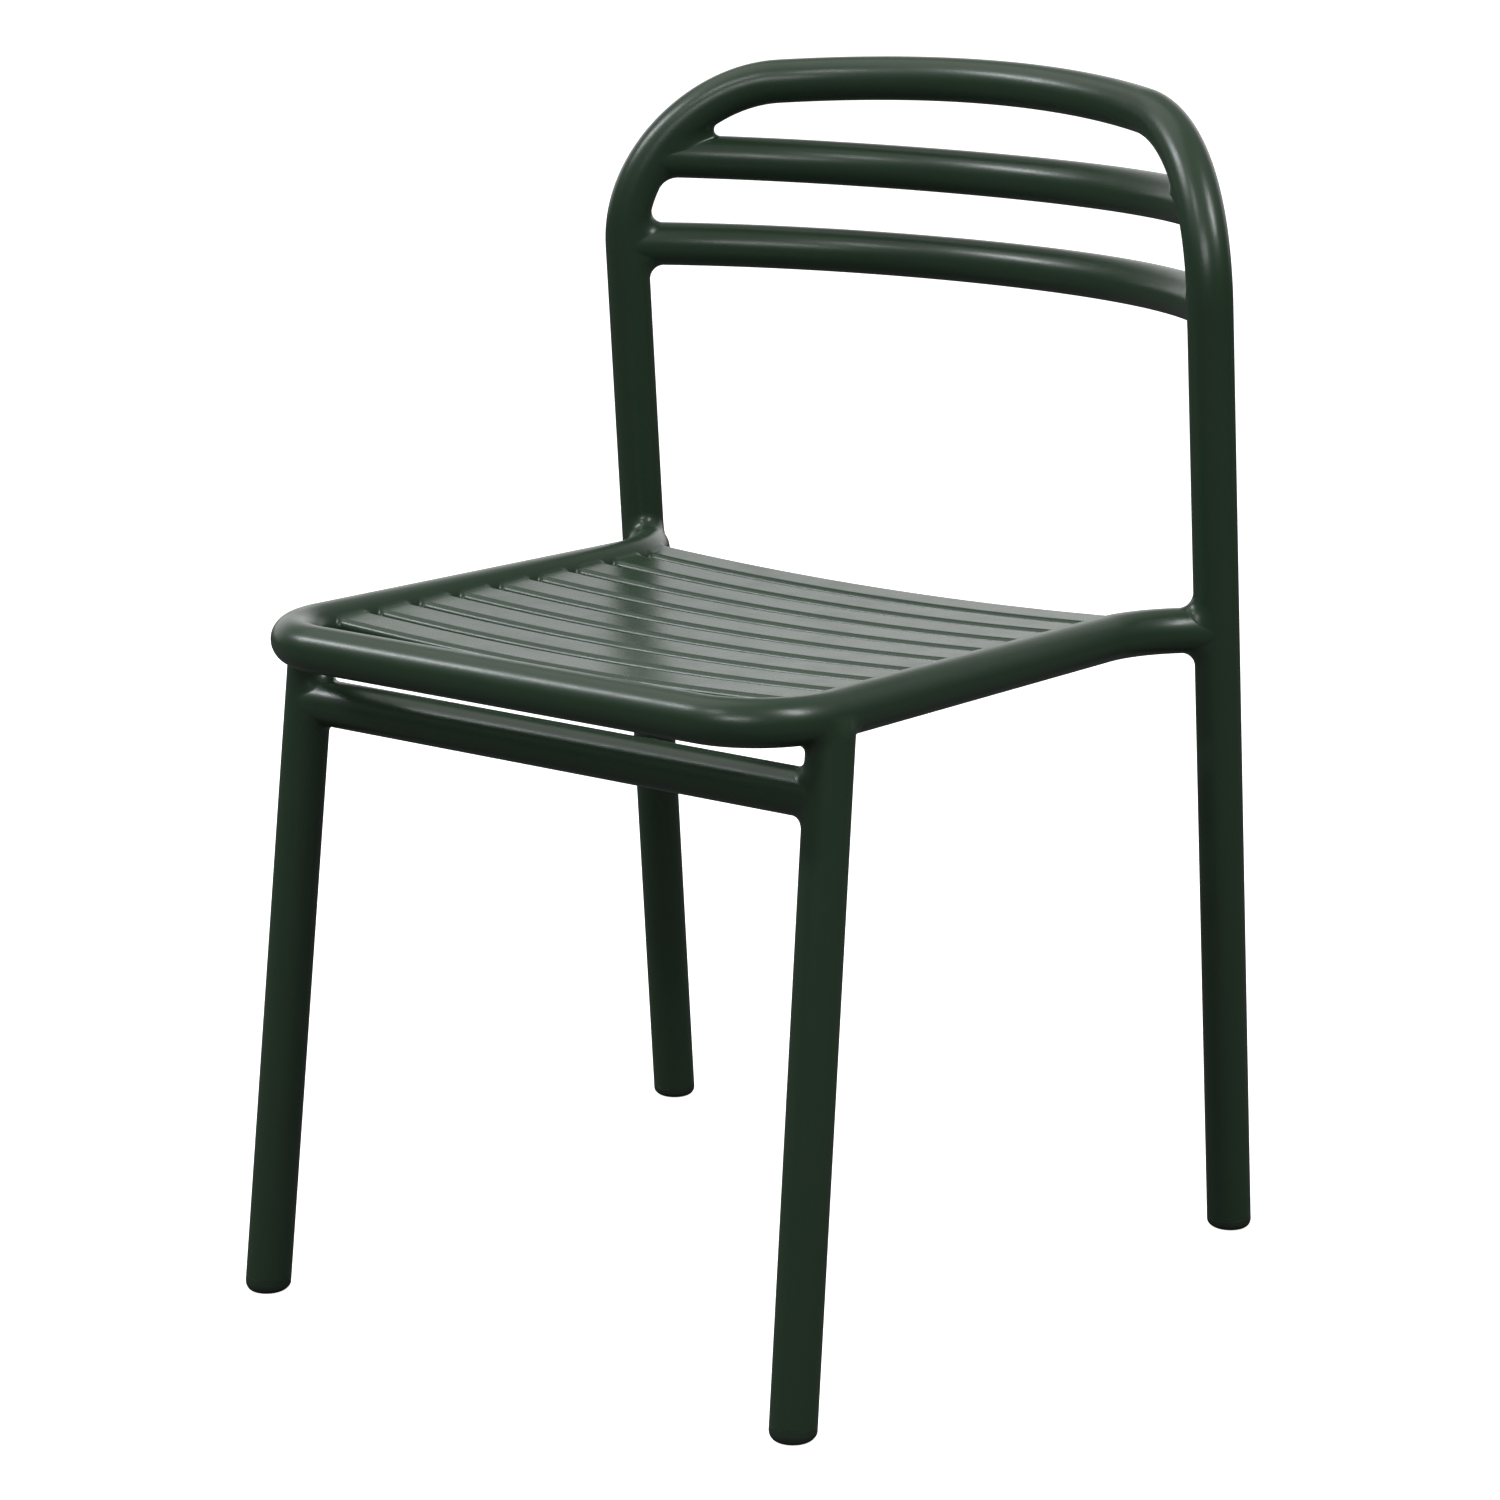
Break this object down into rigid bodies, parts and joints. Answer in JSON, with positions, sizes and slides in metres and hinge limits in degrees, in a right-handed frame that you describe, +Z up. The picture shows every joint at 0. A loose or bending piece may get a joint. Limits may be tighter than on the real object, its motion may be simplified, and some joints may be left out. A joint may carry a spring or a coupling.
{
  "type": "stacking chair",
  "caption": "Stacking side chair of round tube: one-piece back hoop with bowed rails, slatted dished seat and four splayed legs.",
  "frame": {"origin": "on the floor, under the centre of the chair's bounding box", "axes": "+Z up, the sitter faces -Y, +X to the sitter's left; the chair is mirror-symmetric in X"},
  "size_m": [0.506, 0.5658, 0.7753],
  "materials": {
    "tube_coat": "satin",
    "slat_coat": "satin",
    "glide_plastic": "matte"
  },
  "bodies": {
    "root": {"back_hoop": "tube_coat", "upper_back_rail": "tube_coat", "lower_back_rail": "tube_coat", "seat_frame": "tube_coat", "front_apron": "tube_coat", "front_leg_left": "tube_coat", "front_leg_right": "tube_coat", "front_glide_left": "glide_plastic", "front_glide_right": "glide_plastic", "rear_glide_left": "glide_plastic", "rear_glide_right": "glide_plastic", "seat_slat_01": "slat_coat", "seat_slat_02": "slat_coat", "seat_slat_03": "slat_coat", "seat_slat_04": "slat_coat", "seat_slat_05": "slat_coat", "seat_slat_06": "slat_coat", "seat_slat_07": "slat_coat", "seat_slat_08": "slat_coat", "seat_slat_09": "slat_coat"}
  },
  "joints": []
}
